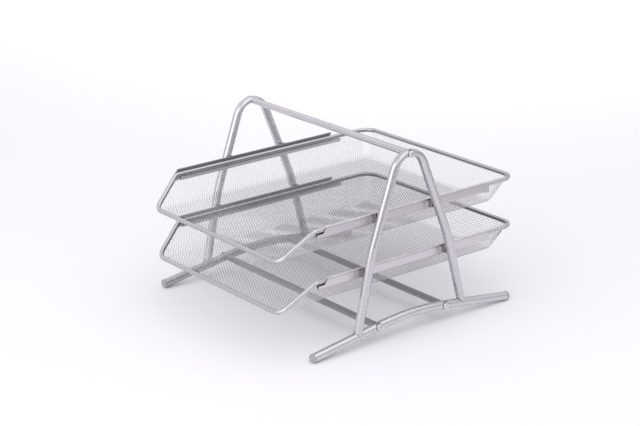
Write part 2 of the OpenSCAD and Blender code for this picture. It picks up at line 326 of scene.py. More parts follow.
def new_material(name):
    m = bpy.data.materials.new(name)
    m.use_nodes = True
    m.node_tree.nodes.clear()
    out = m.node_tree.nodes.new("ShaderNodeOutputMaterial")
    sh = m.node_tree.nodes.new("ShaderNodeBsdfPrincipled")
    m.node_tree.links.new(sh.outputs[0], out.inputs[0])
    return m, m.node_tree, sh


def noise(nt, vec, scale, detail=2.0, rough=0.5):
    n = nt.nodes.new("ShaderNodeTexNoise")
    n.inputs["Scale"].default_value = scale
    n.inputs["Detail"].default_value = detail
    n.inputs["Roughness"].default_value = rough
    nt.links.new(vec, n.inputs["Vector"])
    return n.outputs["Fac"]


def remap(nt, value, a, b, c, d):
    n = nt.nodes.new("ShaderNodeMapRange")
    n.inputs["From Min"].default_value = a
    n.inputs["From Max"].default_value = b
    n.inputs["To Min"].default_value = c
    n.inputs["To Max"].default_value = d
    nt.links.new(value, n.inputs["Value"])
    return n.outputs["Result"]


def mix(nt, fac, a, b, mode="MIX"):
    n = nt.nodes.new("ShaderNodeMix")
    n.data_type = "RGBA"
    n.blend_type = mode
    if isinstance(fac, float):
        n.inputs[0].default_value = fac
    else:
        nt.links.new(fac, n.inputs[0])
    for x, s in ((a, n.inputs[6]), (b, n.inputs[7])):
        if isinstance(x, tuple):
            s.default_value = (*x, 1.0)
        else:
            nt.links.new(x, s)
    return n.outputs[2]


def metal_paint(name, dark, light, worn_and_sheen, metallic, rough, bump=0.12, flake=2600.0, wear_and_sheen=True, shade=None):
    """Silver lacquer: metal flakes under a satin coat, faint mottling from the spray gun, and brighter rubbed edges;
    the attribute for rubbed edges also carries a painted highlight.
    A second colour is mixed in by the shade attribute: painted shade on tubes, rails, stand-offs and rim wires, painted
    light and shade on the mesh strands."""
    m, nt, sh = new_material(name)
    co = nt.nodes.new("ShaderNodeTexCoord").outputs["Object"]
    fine = noise(nt, co, flake, 1.0)
    cloud = noise(nt, co, 38.0, 3.0)
    orange = noise(nt, co, 420.0, 2.0)
    tone = mix(nt, remap(nt, fine, 0.3, 0.7, 0.0, 1.0), dark, light)
    tone = mix(nt, remap(nt, cloud, 0.35, 0.7, 0.0, 0.16), tone, tuple(x * 0.86 for x in dark))
    if wear_and_sheen:
        att = nt.nodes.new("ShaderNodeAttribute")
        att.attribute_name = "wear_and_sheen"
        gate = nt.nodes.new("ShaderNodeMath")
        gate.operation = "MULTIPLY"
        nt.links.new(att.outputs["Fac"], gate.inputs[0])
        nt.links.new(remap(nt, noise(nt, co, 160.0, 3.0, 0.6), 0.42, 0.62, 0.0, 0.7), gate.inputs[1])
        tone = mix(nt, gate.outputs[0], tone, worn_and_sheen)
    if shade:
        att = nt.nodes.new("ShaderNodeAttribute")
        att.attribute_name = "shade"
        tone = mix(nt, att.outputs["Fac"], tone, shade)
    nt.links.new(tone, sh.inputs["Base Color"])
    nt.links.new(remap(nt, orange, 0.3, 0.7, rough - 0.05, rough + 0.06), sh.inputs["Roughness"])
    sh.inputs["Metallic"].default_value = metallic
    b = nt.nodes.new("ShaderNodeBump")
    b.inputs["Strength"].default_value = bump
    b.inputs["Distance"].default_value = 0.0002
    nt.links.new(mix(nt, 0.35, orange, fine), b.inputs["Height"])
    nt.links.new(b.outputs[0], sh.inputs["Normal"])
    return m


def plain_steel(name):
    m, nt, sh = new_material(name)
    co = nt.nodes.new("ShaderNodeTexCoord").outputs["Object"]
    fine = noise(nt, co, 1500.0, 2.0)
    stain = noise(nt, co, 260.0, 3.0)
    tone = mix(nt, remap(nt, fine, 0.3, 0.7, 0.0, 1.0), (0.70, 0.69, 0.71), (0.86, 0.85, 0.87))
    tone = mix(nt, remap(nt, stain, 0.45, 0.75, 0.0, 0.3), tone, (0.42, 0.415, 0.43))
    nt.links.new(tone, sh.inputs["Base Color"])
    nt.links.new(remap(nt, stain, 0.3, 0.7, 0.2, 0.36), sh.inputs["Roughness"])
    sh.inputs["Metallic"].default_value = 1.0
    b = nt.nodes.new("ShaderNodeBump")
    b.inputs["Strength"].default_value = 0.15
    b.inputs["Distance"].default_value = 0.0001
    nt.links.new(fine, b.inputs["Height"])
    nt.links.new(b.outputs[0], sh.inputs["Normal"])
    return m


def cap_plastic(name):
    m, nt, sh = new_material(name)
    co = nt.nodes.new("ShaderNodeTexCoord").outputs["Object"]
    grain = noise(nt, co, 1900.0, 2.0)
    cloud = noise(nt, co, 120.0, 3.0)
    tone = mix(nt, remap(nt, grain, 0.3, 0.7, 0.0, 1.0), (0.365, 0.36, 0.38), (0.445, 0.44, 0.46))
    tone = mix(nt, remap(nt, cloud, 0.4, 0.75, 0.0, 0.25), tone, (0.30, 0.295, 0.31))
    nt.links.new(tone, sh.inputs["Base Color"])
    nt.links.new(remap(nt, cloud, 0.3, 0.7, 0.42, 0.56), sh.inputs["Roughness"])
    sh.inputs["Metallic"].default_value = 0.25
    b = nt.nodes.new("ShaderNodeBump")
    b.inputs["Strength"].default_value = 0.2
    b.inputs["Distance"].default_value = 0.0002
    nt.links.new(grain, b.inputs["Height"])
    nt.links.new(b.outputs[0], sh.inputs["Normal"])
    return m


TUBE = metal_paint("tube_paint", (0.665, 0.648, 0.68), (0.715, 0.697, 0.73), (0.8, 0.79, 0.81), 0.95, 0.27, bump=0.05, wear_and_sheen=False, shade=(0.16, 0.155, 0.16))
# a darker copy of the tube paint for the lower bars: painted shade for the shadow of the trays above them
BAR = metal_paint("bar_paint_shaded", (0.33, 0.322, 0.338), (0.385, 0.377, 0.393), (0.6, 0.6, 0.61), 0.95, 0.36, wear_and_sheen=False)
RAIL = metal_paint("rail_paint", (0.66, 0.633, 0.657), (0.73, 0.70, 0.727), (0.9, 0.885, 0.905), 0.95, 0.33, shade=(0.25, 0.24, 0.247))
WIRE = metal_paint("wire_paint", (0.585, 0.57, 0.597), (0.64, 0.625, 0.652), (0.8, 0.8, 0.81), 0.95, 0.27, bump=0.05, wear_and_sheen=False, shade=(0.10, 0.097, 0.10))
# near-black strands with a light second colour mixed per face: painted light and shade on the twisted strands
MESH = metal_paint("mesh_paint", (0.085, 0.083, 0.086), (0.115, 0.112, 0.116), (0.8, 0.8, 0.81), 0.95, 0.36, bump=0.08, flake=1500.0, wear_and_sheen=False, shade=(0.72, 0.705, 0.725))
# the selvedge under the wire is painted a darker grey: painted shade for the crease under the wire
HEM = metal_paint("hem_paint_shaded", (0.46, 0.45, 0.465), (0.54, 0.53, 0.545), (0.6, 0.6, 0.61), 0.9, 0.45, bump=0.08, flake=1500.0, wear_and_sheen=False)
STEEL = plain_steel("screw_steel")
CAP = cap_plastic("cap_plastic")


# ---- side frames

def press_seat(v, y, z, x_seat, r_flat=4.7, wall=0.9):
    """Presses a round flat for a screw head into the outer side of a tube."""
    d = np.hypot(v[:, 1] - y, v[:, 2] - z)
    limit = x_seat + np.maximum(d - r_flat, 0) / wall * 1.2
    near = (v[:, 0] > FRAME_X) & (d < r_flat + 2.5)
    v[near, 0] = np.minimum(v[near, 0], limit[near])
    return v


def foot_line(s):
    """A point on the straight part of a foot's axis and its direction; s is -1 at the front and 1 at the rear."""
    p = np.array([FRAME_X, FOOT_Y + s * FOOT_END, FOOT_END_Z])
    d = unit([0, -s * math.cos(FOOT_SLOPE), math.sin(FOOT_SLOPE)])
    return p, d


def drop_on_foot(p, d, s, r):
    """Moves points p along d on to a foot's tube of radius r."""
    f0, fd = foot_line(s)
    q = p - f0
    q = q - (q @ fd)[:, None] * fd
    e = d - (d @ fd) * fd
    a, b, c = e @ e, 2 * (q @ e), (q * q).sum(1) - r * r
    disc = np.maximum(b * b - 4 * a * c, 0)
    return p + ((-b - np.sqrt(disc)) / (2 * a))[:, None] * d


def leg_frame_mesh():
    segs = 56
    zb = 24.0
    pts = [[FRAME_X, FRAME_Y - leg_y(zb), zb], [FRAME_X, FRAME_Y - KNEE_Y, KNEE_Z], [FRAME_X, FRAME_Y, PEAK_Z],
           [FRAME_X, FRAME_Y + KNEE_Y, KNEE_Z], [FRAME_X, FRAME_Y + leg_y(zb), zb]]
    path, _ = bent_path(pts, [0, 150, ARCH_R, 150, 0], step=4.0, turn=1.6)
    # the arch is a little flat in the plane of the bend
    ang = np.degrees(np.arctan2(path[:, 1] - ARCH_C[0], path[:, 2] - ARCH_C[1]))
    flat = smooth((78 - np.abs(ang)) / 50) * (path[:, 2] > ARCH_C[1] - 4)
    ra = TUBE_R + 0.35 * flat
    rb = TUBE_R - 1.0 * flat
    path[:, 2] += 0.5 * flat * np.cos(np.radians(np.clip(ang, -90, 90)))
    v, faces = sweep(path, ra, rb, [1, 0, 0], segs, caps=False)
    n = len(path)
    v = press_seat(v, FRAME_Y, APEX_Z, HEAD_X + 0.15)
    # saddle ends on the foot: open by a hair on the outer side, sunk in the weld on the inner side
    ends = []
    for s, row in ((-1, v[:segs]), (1, v[(n - 1) * segs:n * segs])):
        d = unit([0, s * LOWER_LEAN, -1])
        out = smooth((row[:, 0] - FRAME_X + 2.5) / 5)
        on = drop_on_foot(row, d, s, TUBE_R + 0.55)
        sunk = drop_on_foot(row, d, s, TUBE_R - 0.35)
        tip = on * out[:, None] + sunk * (1 - out[:, None])
        c = tip.mean(0)
        axis = row.mean(0)
        inner = tip + unit(d) * 0.25
        rad = inner - (axis + ((inner - axis) @ d)[:, None] * d)
        inner = inner - rad * 0.09
        ends.append((tip - unit(d) * 0.3, inner))
    rows = [ends[0][1], ends[0][0], v, ends[1][0], ends[1][1]]
    n += 4
    v = np.vstack(rows)
    v, extra = close_ends(v, n, segs)
    faces = [grid_quads(n, segs, False)] + extra
    parts = [(v, faces)]
    # weld beads along the inner half of each saddle
    for s in (-1, 1):
        row = np.stack([FRAME_X + TUBE_R * np.cos(th := np.linspace(math.radians(72), math.radians(288), 46)),
                        FRAME_Y + s * leg_y(zb) + TUBE_R * np.sin(th), np.full(46, zb)], -1)
        d = unit([0, s * LOWER_LEAN, -1])
        bead = drop_on_foot(row, d, s, TUBE_R)
        k = np.arange(46)
        r = (0.85 + 0.12 * np.sin(k * 1.9)) * np.sqrt(np.clip(np.sin(math.pi * (k + 0.35) / 45.7), 0.02, 1))
        parts.append(sweep(bead, r, r, [0, 0, 1], 10))
    return join(parts)


def foot_mesh():
    pts = [[FRAME_X, FOOT_Y - FOOT_END, FOOT_END_Z], [FRAME_X, FOOT_Y, FOOT_PEAK_Z], [FRAME_X, FOOT_Y + FOOT_END, FOOT_END_Z]]
    path, _ = bent_path(pts, [0, FOOT_BEND_R, 0], step=2.0, turn=0.22)
    # finer rings round the screws
    keep = [path[0]]
    for a, b in zip(path[:-1], path[1:]):
        k = 4 if min(abs(a[1] - (FRAME_Y + q * BAR_Y)) for q in (-1, 1)) < 9 else 1
        keep += [a + (b - a) * j / k for j in range(1, k + 1)]
    v, faces = sweep(np.array(keep), TUBE_R, TUBE_R, [1, 0, 0], 64)
    for s in (-1, 1):
        v = press_seat(v, FRAME_Y + s * BAR_Y, BAR_Z, HEAD_X + 0.05)
    return v, faces


def cap_mesh(s):
    """End cap: a narrow collar and a rounded nose, cut flat where it stands."""
    a = [math.radians(x) for x in range(0, 91, 6)]
    prof = [(0, -9.0), (TUBE_R - 1.6, -9.0), (TUBE_R - 1.06, -8.2), (TUBE_R - 1.06, -0.02), (CAP_R - 0.35, 0.0)]
    prof += [(CAP_R - 0.35 + 0.35 * math.sin(x), 0.35 - 0.35 * math.cos(x)) for x in (math.radians(y) for y in (30, 60, 90))]
    prof += [(CAP_R, 0.6), (CAP_R, CAP_BODY - 0.2)]
    prof += [(CAP_R - CAP_EDGE + CAP_EDGE * math.cos(x), CAP_BODY + (CAP_EDGE - 0.2) * math.sin(x)) for x in a[:-2]]
    prof += [(CAP_R - CAP_EDGE - 0.3, CAP_LEN - 0.16), (CAP_R - CAP_EDGE - 1.2, CAP_LEN - 0.08), (CAP_R - CAP_EDGE - 2.2, CAP_LEN - 0.02), (0, CAP_LEN)]
    axis = [0, s * math.cos(FOOT_SLOPE), -math.sin(FOOT_SLOPE)]
    v, f = lathe(prof, [FRAME_X, FOOT_Y + s * FOOT_END, FOOT_END_Z], axis, [1, 0, 0], 72)
    v[:, 2] = np.maximum(v[:, 2], 0.0)
    return v, f


def bar_mesh(y, z):
    """Cross bar with turned-in ends."""
    l = BAR_L
    e = [(0, -l), (BAR_R - 1.2, -l), (BAR_R - 0.5, -l + 0.06), (BAR_R - 0.15, -l + 0.22), (BAR_R, -l + 0.6)]
    prof = e + [(BAR_R, x) for x in np.linspace(-l + 6, l - 6, 60)] + [(r, -x) for r, x in e[::-1]]
    return lathe(prof, [0, y, z], [1, 0, 0], [0, 0, 1], 48)


def screw_mesh(y, z, x_base):
    """Pan head with a cross recess, and its shank."""
    segs = 96
    r, h = HEAD_R, HEAD_H
    th = np.arange(segs) * 2 * math.pi / segs
    c, s = np.abs(np.cos(th - math.pi / 4)) + 1e-9, np.abs(np.sin(th - math.pi / 4)) + 1e-9
    w, l = 0.52, 2.35
    cross = np.maximum(np.minimum(l / c, w / s), np.minimum(w / c, l / s))
    inner = np.maximum(np.minimum(l * 0.66 / c, w * 0.7 / s), np.minimum(w * 0.7 / c, l * 0.66 / s))
    rows = [(np.full(segs, 1.98), -12.0), (np.full(segs, 2.0), -11.6), (np.full(segs, 2.0), -0.02), (np.full(segs, r - 0.2), 0.0), (np.full(segs, r - 0.06), 0.08),
            (np.full(segs, r), 0.3), (np.full(segs, r), h * 0.36)]
    for a in range(8, 89, 8):
        rows.append((np.full(segs, r * 0.6 + r * 0.4 * math.cos(math.radians(a))), h * 0.36 + h * 0.62 * math.sin(math.radians(a))))
    rows += [(np.full(segs, 2.62), h * 0.993), (cross + 0.1, h), (cross, h - 0.06), (inner, h - 1.25)]
    v = [np.stack([np.full(segs, x_base + q), y + rr * np.cos(th), z + rr * np.sin(th)], -1) for rr, q in rows]
    n = len(v)
    v = np.vstack(v)
    v, extra = close_ends(v, n, segs)
    v[-1, 0] -= 0.35
    return v, [grid_quads(n, segs, False)] + extra


def seam_shade(v, screws, on_foot):
    """Shadowed gaps: round the screw heads, and at the saddle of a leg."""
    d = np.zeros(len(v))
    for y, z in screws:
        r = np.hypot(v[:, 1] - y, v[:, 2] - z)
        d = np.maximum(d, 0.75 * smooth((5.2 - r) / 0.5) * (v[:, 0] > FRAME_X))
    if on_foot:
        for s in (-1, 1):
            f0, fd = foot_line(s)
            q = v - f0
            q = q - (q @ fd)[:, None] * fd
            d = np.maximum(d, 0.7 * smooth((TUBE_R + 0.75 - np.linalg.norm(q, axis=1)) / 0.4) * (s * (v[:, 1] - FOOT_Y) > 40))
    return d


for side in ("right", "left"):
    flip = side == "left"
    shapes = [("leg_frame_" + side, leg_frame_mesh(), TUBE, "tube", 30), ("foot_tube_" + side, foot_mesh(), TUBE, "tube", 50),
              ("foot_cap_front_" + side, cap_mesh(-1), CAP, "end_cap", 42), ("foot_cap_rear_" + side, cap_mesh(1), CAP, "end_cap", 42)]
    for node, (v, f), mat, slot, sharp in shapes:
        d = None
        if mat is TUBE:
            leg = node.startswith("leg")
            d = seam_shade(v, [(FRAME_Y, APEX_Z)] if leg else [(FRAME_Y + s * BAR_Y, BAR_Z) for s in (-1, 1)], leg)
            # painted shade: the right-hand leg frame is darkened all over, the left one only a little, and each foot
            # along its inner side
            d = np.maximum(d, (0.02 if flip else 0.13) if leg else 0.34 * smooth((FRAME_X + 2.2 - v[:, 0]) / 3.5))
        if flip:
            v, f = mirrored(v, f)
        piece(node + "_look", v, outward(v, f), mat, "frame", slot, node, sharp, shade=d)

for node, y, z in (("handle_bar", FRAME_Y, APEX_Z), ("lower_bar_front", FRAME_Y - BAR_Y, BAR_Z), ("lower_bar_rear", FRAME_Y + BAR_Y, BAR_Z)):
    v, f = bar_mesh(y, z)
    # the lower bars take the darker copy of the paint: painted shade
    piece(node + "_look", v, outward(v, f), TUBE if node == "handle_bar" else BAR, "frame", "tube", node, 40)

one = screw_mesh(FRAME_Y, APEX_Z, HEAD_X + 0.2)
v, f = join([one, mirrored(*one)])
piece("handle_screws_look", v, outward(v, f), STEEL, "frame", "screw", "handle_screws", 32)
four = []
for s in (-1, 1):
    one = screw_mesh(FRAME_Y + s * BAR_Y, BAR_Z, HEAD_X + 0.05)
    four += [one, mirrored(*one)]
v, f = join(four)
piece("foot_screws_look", v, outward(v, f), STEEL, "frame", "screw", "foot_screws", 32)


# ---- rails and their stand-offs

def rail_mesh(z):
    """Right-hand rail: rolled top edge, web, J gutter. The web's front end and its rear top corner are cut on the slant."""
    pts, lo, hi = [], [], []

    def web_lo(q):
        if q > RAIL_UP - 2.75:
            return -WEB_SHORT + 3.0
        return -WEB_SHORT + 5.6 * (q - GUTTER_Z) / (RAIL_UP - 2.8 - GUTTER_Z)

    def web_hi(q):
        return WEB_LONG - float(np.interp(RAIL_UP - q, [0.0, 0.8, 4.7, 6.3, 8.0], [9.6, 7.2, 2.0, 0.5, 0.0]))

    cx, cz = RAIL_IN + 1.3, RAIL_UP - 1.3
    for a in np.radians(np.linspace(-40, 180, 25)):
        pts.append((cx + 0.8 * math.cos(a), cz + 0.8 * math.sin(a)))
    for q in [cz - 0.4, cz - 0.9, RAIL_UP - 2.7] + list(np.linspace(RAIL_UP - 2.85, GUTTER_Z + 0.04, 14)):
        pts.append((RAIL_X - RAIL_T / 2, q))
    n_web = len(pts)
    for x, q in pts:
        lo.append(web_lo(q))
        hi.append(web_hi(q))
    steps = np.linspace(GUTTER_Z, BEND_Z, 7)
    mid = GUTTER_R - RAIL_T / 2
    gutter = [(GUTTER_X + mid, q) for q in steps[:-1]]
    gutter += [(GUTTER_X + mid * math.cos(a), BEND_Z + mid * math.sin(a)) for a in np.radians(np.linspace(0, -180, 25))]
    gutter += [(GUTTER_X - mid, q) for q in steps[-2::-1]]
    pts += gutter
    lo += [-GUTTER_HALF] * len(gutter)
    hi += [GUTTER_HALF] * len(gutter)

    def along(x, q, y):
        return np.stack([x, FRAME_Y + y, z + q], -1)

    v, f, w = strip(pts, RAIL_T / 2, lo, hi, along, rows=24)
    # plain end of the web below the gutter's top, behind the gutter
    tail = [(RAIL_X - RAIL_T / 2, q) for q in np.linspace(GUTTER_Z + 0.04, RAIL_LOW, 6)]
    v2, f2, w2 = strip(tail, RAIL_T / 2, GUTTER_HALF + 0.4, WEB_LONG, along, rows=3)
    vv, ff = join([(v, f), (v2, f2)])
    return vv, ff, np.concatenate([w, w2])


def vertex_normals(v, faces):
    n = np.zeros_like(v)
    for f in faces:
        f = np.asarray(f)
        c = np.cross(v[f[:, 2]] - v[f[:, 0]], v[f[:, -1]] - v[f[:, 1]])
        for k in range(f.shape[1]):
            np.add.at(n, f[:, k], c)
    return n / np.maximum(np.linalg.norm(n, axis=1, keepdims=True), 1e-12)


def rail_shade(v, faces, z, web):
    """Painted shade on a right-hand rail: on its tray side above the gutter, in the crevice under its rolled edge and,
    by web, over its outer web.
    """
    n = vertex_normals(v, faces)
    q = v[:, 2] - z
    inner = smooth((-n[:, 0] - 0.15) / 0.5) * np.where(q < GUTTER_Z, 0.0, 1.0)
    outer = (np.abs(v[:, 0] - RAIL_X) < 0.1) & (n[:, 0] > 0.5)
    crevice = (web + (0.55 - web) * smooth((q - (RAIL_UP - 4.4)) / 1.5)) * outer
    return np.maximum(inner, crevice)


def bracket_mesh(y, z):
    """Hat-shaped stand-off with rounded folds and a pressed weld spot on each flange. Its flanges end under the rail's
    rolled edge. Painted shade lies dark on its riser and folds and faint on its flanges.
    """
    x0, x1, w = RAIL_X + 0.02 + 0.45, FRAME_X - TUBE_R - 0.05 - 0.45, 4.15
    path, _ = bent_path([[x0, -w - 5.45, 0], [x0, -w, 0], [x1, -w, 0], [x1, w, 0], [x0, w, 0], [x0, w + 5.45, 0]],
                        [0, 1.3, 1.3, 1.3, 1.3, 0], step=1.0, turn=12)
    z0 = z + BRACKET_LOW + 0.2
    z1 = z0 + RAIL_UP - BRACKET_LOW - 0.6
    top = np.where(path[:, 0] < RAIL_IN + 2.9, z1 - 2.8, z1)

    def along(x, q, t):
        return np.stack([x, FRAME_Y + y + q, t], -1)

    v, f, wear_and_sheen = strip(path[:, :2], 0.45, z0, top, along, edge=0.2, rows=12)
    zc = (z0 + z1 - 2.8) / 2
    for s in (-1, 1):
        d = np.hypot(v[:, 1] - (FRAME_Y + y + s * (w + 3.0)), v[:, 2] - zc)
        out = (v[:, 0] > x0) & (d < 2.0)
        v[out, 0] -= 0.22 * smooth((2.0 - d[out]) / 0.9)
    thin = 1 - 0.75 * smooth((np.abs(v[:, 1] - FRAME_Y - y) - w - 1.2) / 3.6)
    v[:, 0] = np.where(v[:, 0] < x0 + 0.5, x0 - 0.45 + (v[:, 0] - x0 + 0.45) * thin, v[:, 0])
    # painted shade: dark from the outer folds on, faint on the flanges
    return v, f, wear_and_sheen, np.maximum(0.15, smooth((v[:, 0] - x0 + 0.1) / 0.9))


for tier, z in RIM_Z.items():
    v, f, w = rail_mesh(z)
    f = outward(v, f)
    # painted shade over the outer web, more on the upper rails than on the lower ones
    d = rail_shade(v, f, z, 0.2 if tier == "upper" else 0.04)
    # the top of the rolled edge takes the brighter worn tone: partly painted highlight, partly rubbed wear, gated by
    # noise
    w = np.maximum(w, 0.9 * smooth((v[:, 2] - z - RAIL_UP + 2.4) / 1.0) * (d < 0.2))
    piece(f"rail_{tier}_right_look", v, f, RAIL, "frame", "rail", f"rail_{tier}_right", 32, wear_and_sheen=w, shade=d)
    piece(f"rail_{tier}_left_look", half_turn(v) + [0, RAIL_SHIFT, 0], f, RAIL, "frame", "rail", f"rail_{tier}_left", 32, wear_and_sheen=w, shade=d)
    both = [bracket_mesh(s * leg_y(z), z) for s in (-1, 1)]
    v, f = join([b[:2] for b in both])
    w, d = (np.concatenate([b[k] for b in both]) for k in (2, 3))
    f = outward(v, f)
    piece(f"rail_brackets_{tier}_right_look", v, f, RAIL, "frame", "rail", f"rail_brackets_{tier}_right", 32, wear_and_sheen=w, shade=d)
    piece(f"rail_brackets_{tier}_left_look", half_turn(v), f, RAIL, "frame", "rail", f"rail_brackets_{tier}_left", 32, wear_and_sheen=w, shade=d)


# ---- trays (heights from the rim wire's middle)

def rim_path(step=5.0, turn=4.0):
    return bent_path([[RIM_X, REAR_Y, 0], [RIM_X, DROP_Y, 0], [FRONT_X, FRONT_Y, -TRAY_H], [-FRONT_X, FRONT_Y, -TRAY_H], [-RIM_X, DROP_Y, 0],
                      [-RIM_X, REAR_Y, 0]], [REAR_R, DROP_R, FRONT_R, FRONT_R, DROP_R, REAR_R], True, step, turn)


SIDE_G = unit([RIM_X - 2.5 - FLOOR_X, 0, TRAY_H - 1])
REAR_G = unit([0, REAR_Y - 2.5 - FLOOR_REAR, TRAY_H - 1])
SIDE_L = math.hypot(RIM_X - 2.5 - FLOOR_X, TRAY_H - 1)
REAR_L = math.hypot(REAR_Y - 2.5 - FLOOR_REAR, TRAY_H - 1)
FOLD = 4.6                               # the folds start this far from the corner line
COR_X, COR_Y, COR_R = FLOOR_X - 7, FLOOR_REAR - 7, 7.0


def floor_half(t):
    """Half width of the floor; it widens a little at the front, up to the wire."""
    return FLOOR_X + 2.0 * smooth((-125 - t) / 40)


def corner_wall(u, q):
    """The wall round a rear corner: u is the share of its height, q the share of its length round the corner."""
    dx, dy = RIM_X - 2.5 - FLOOR_X, REAR_Y - 2.5 - FLOOR_REAR
    r = COR_R + 8.5 * u
    xw, yw = FLOOR_X + dx * u, FLOOR_REAR + dy * u
    xc, yc = xw - r, yw - r
    l1, l2, l3 = yc - COR_Y, math.pi / 2 * r, xc - COR_X
    pos = q * (l1 + l2 + l3)
    phi = np.clip((pos - l1) / r, 0, math.pi / 2)
    x = xc + r * np.cos(phi) - np.maximum(pos - l1 - l2, 0)
    y = yc + r * np.sin(phi) - np.maximum(l1 - pos, 0)
    return np.stack([x, y, -TRAY_H + (TRAY_H - 1) * u], -1)


def tray_surface(s, t):
    """Folds the flat sheet: s is measured across it from the middle, t along it."""
    sign = np.where(s < 0, -1.0, 1.0)
    s = np.abs(s)
    zero = np.zeros_like(s)
    out = np.stack([s, t, zero - TRAY_H], -1)

    def folded(w, corner, e, up):
        """w from the fold line: floor, soft fold, wall."""
        tau = np.clip((w + FOLD) / (2 * FOLD), 0, 1)[:, None]
        soft = (1 - tau) ** 2 * (corner - FOLD * e) + 2 * tau * (1 - tau) * corner + tau ** 2 * up(np.full_like(w, FOLD))
        return np.where((w < -FOLD)[:, None], corner + w[:, None] * e, np.where((w > FOLD)[:, None], up(w), soft))

    fx = floor_half(t)
    k = (t <= COR_Y) & (s > fx - FOLD)
    if k.any():
        c = np.stack([fx[k], t[k], zero[k] - TRAY_H], -1)
        out[k] = folded(s[k] - fx[k], c, np.array([1.0, 0, 0]), lambda w: c + w[:, None] * SIDE_G)
    k = (t > FLOOR_REAR - FOLD) & (s <= COR_X)
    if k.any():
        c2 = np.stack([s[k], zero[k] + FLOOR_REAR, zero[k] - TRAY_H], -1)
        out[k] = folded(t[k] - FLOOR_REAR, c2, np.array([0, 1.0, 0]), lambda w: c2 + w[:, None] * REAR_G)
    k = (t > COR_Y) & (s > COR_X)
    if k.any():
        a = np.arctan2(t[k] - COR_Y, s[k] - COR_X)
        rho = np.hypot(t[k] - COR_Y, s[k] - COR_X)
        q = a / (math.pi / 2)
        e = np.stack([np.cos(a), np.sin(a), zero[k]], -1)
        c3 = np.array([COR_X, COR_Y, -TRAY_H]) + COR_R * e
        length = SIDE_L + (REAR_L - SIDE_L) * q
        out[k] = folded(rho - COR_R, c3, e, lambda w: corner_wall(w / length, q))
    out[:, 0] *= sign
    return out


def front_limit():
    """How far to the front the sheet reaches at each s, up to the rim wire."""
    wire = rim_path(step=1.0, turn=3.0)[0]
    wire = wire[(wire[:, 0] > -20) & (wire[:, 1] < -100)]
    s = np.arange(0.0, FLOOR_X + SIDE_L + 6, 0.5)
    lim = np.full(len(s), -120.0)
    y = np.arange(-120.0, -176.0, -0.25)
    for i, q in enumerate(s):
        p = tray_surface(np.full(len(y), q), y)
        d = np.sqrt(((p[:, None, :] - wire[None]) ** 2).sum(-1).min(1))
        hit = np.nonzero(d < 2.45)[0]
        lim[i] = y[hit[0]] if len(hit) else -120.0
    return s, lim


LIMIT_S, LIMIT_Y = front_limit()
S_TOP = FLOOR_X + SIDE_L - 0.2
T_TOP = FLOOR_REAR + REAR_L - 0.2


def clamp_sheet(s, t):
    """Keeps sheet coordinates inside the sheet's outline."""
    sign = np.where(s < 0, -1.0, 1.0)
    s = np.abs(s)
    lim = np.interp(s, LIMIT_S, LIMIT_Y)
    t = np.maximum(t, lim)
    k = (t > COR_Y) & (s > COR_X)
    rho = np.hypot(t - COR_Y, s - COR_X)
    a = np.arctan2(t - COR_Y, s - COR_X)
    top = COR_R + SIDE_L - 0.2 + (REAR_L - SIDE_L) * a / (math.pi / 2)
    over = k & (rho > top)
    s = np.where(over, COR_X + np.cos(a) * top, s)
    t = np.where(over, COR_Y + np.sin(a) * top, t)
    s = np.where(~k & (t <= COR_Y), np.minimum(s, S_TOP + np.maximum(floor_half(t) - FLOOR_X, 0)), s)
    t = np.where(~k & (s <= COR_X), np.minimum(t, T_TOP), t)
    return s * sign, t


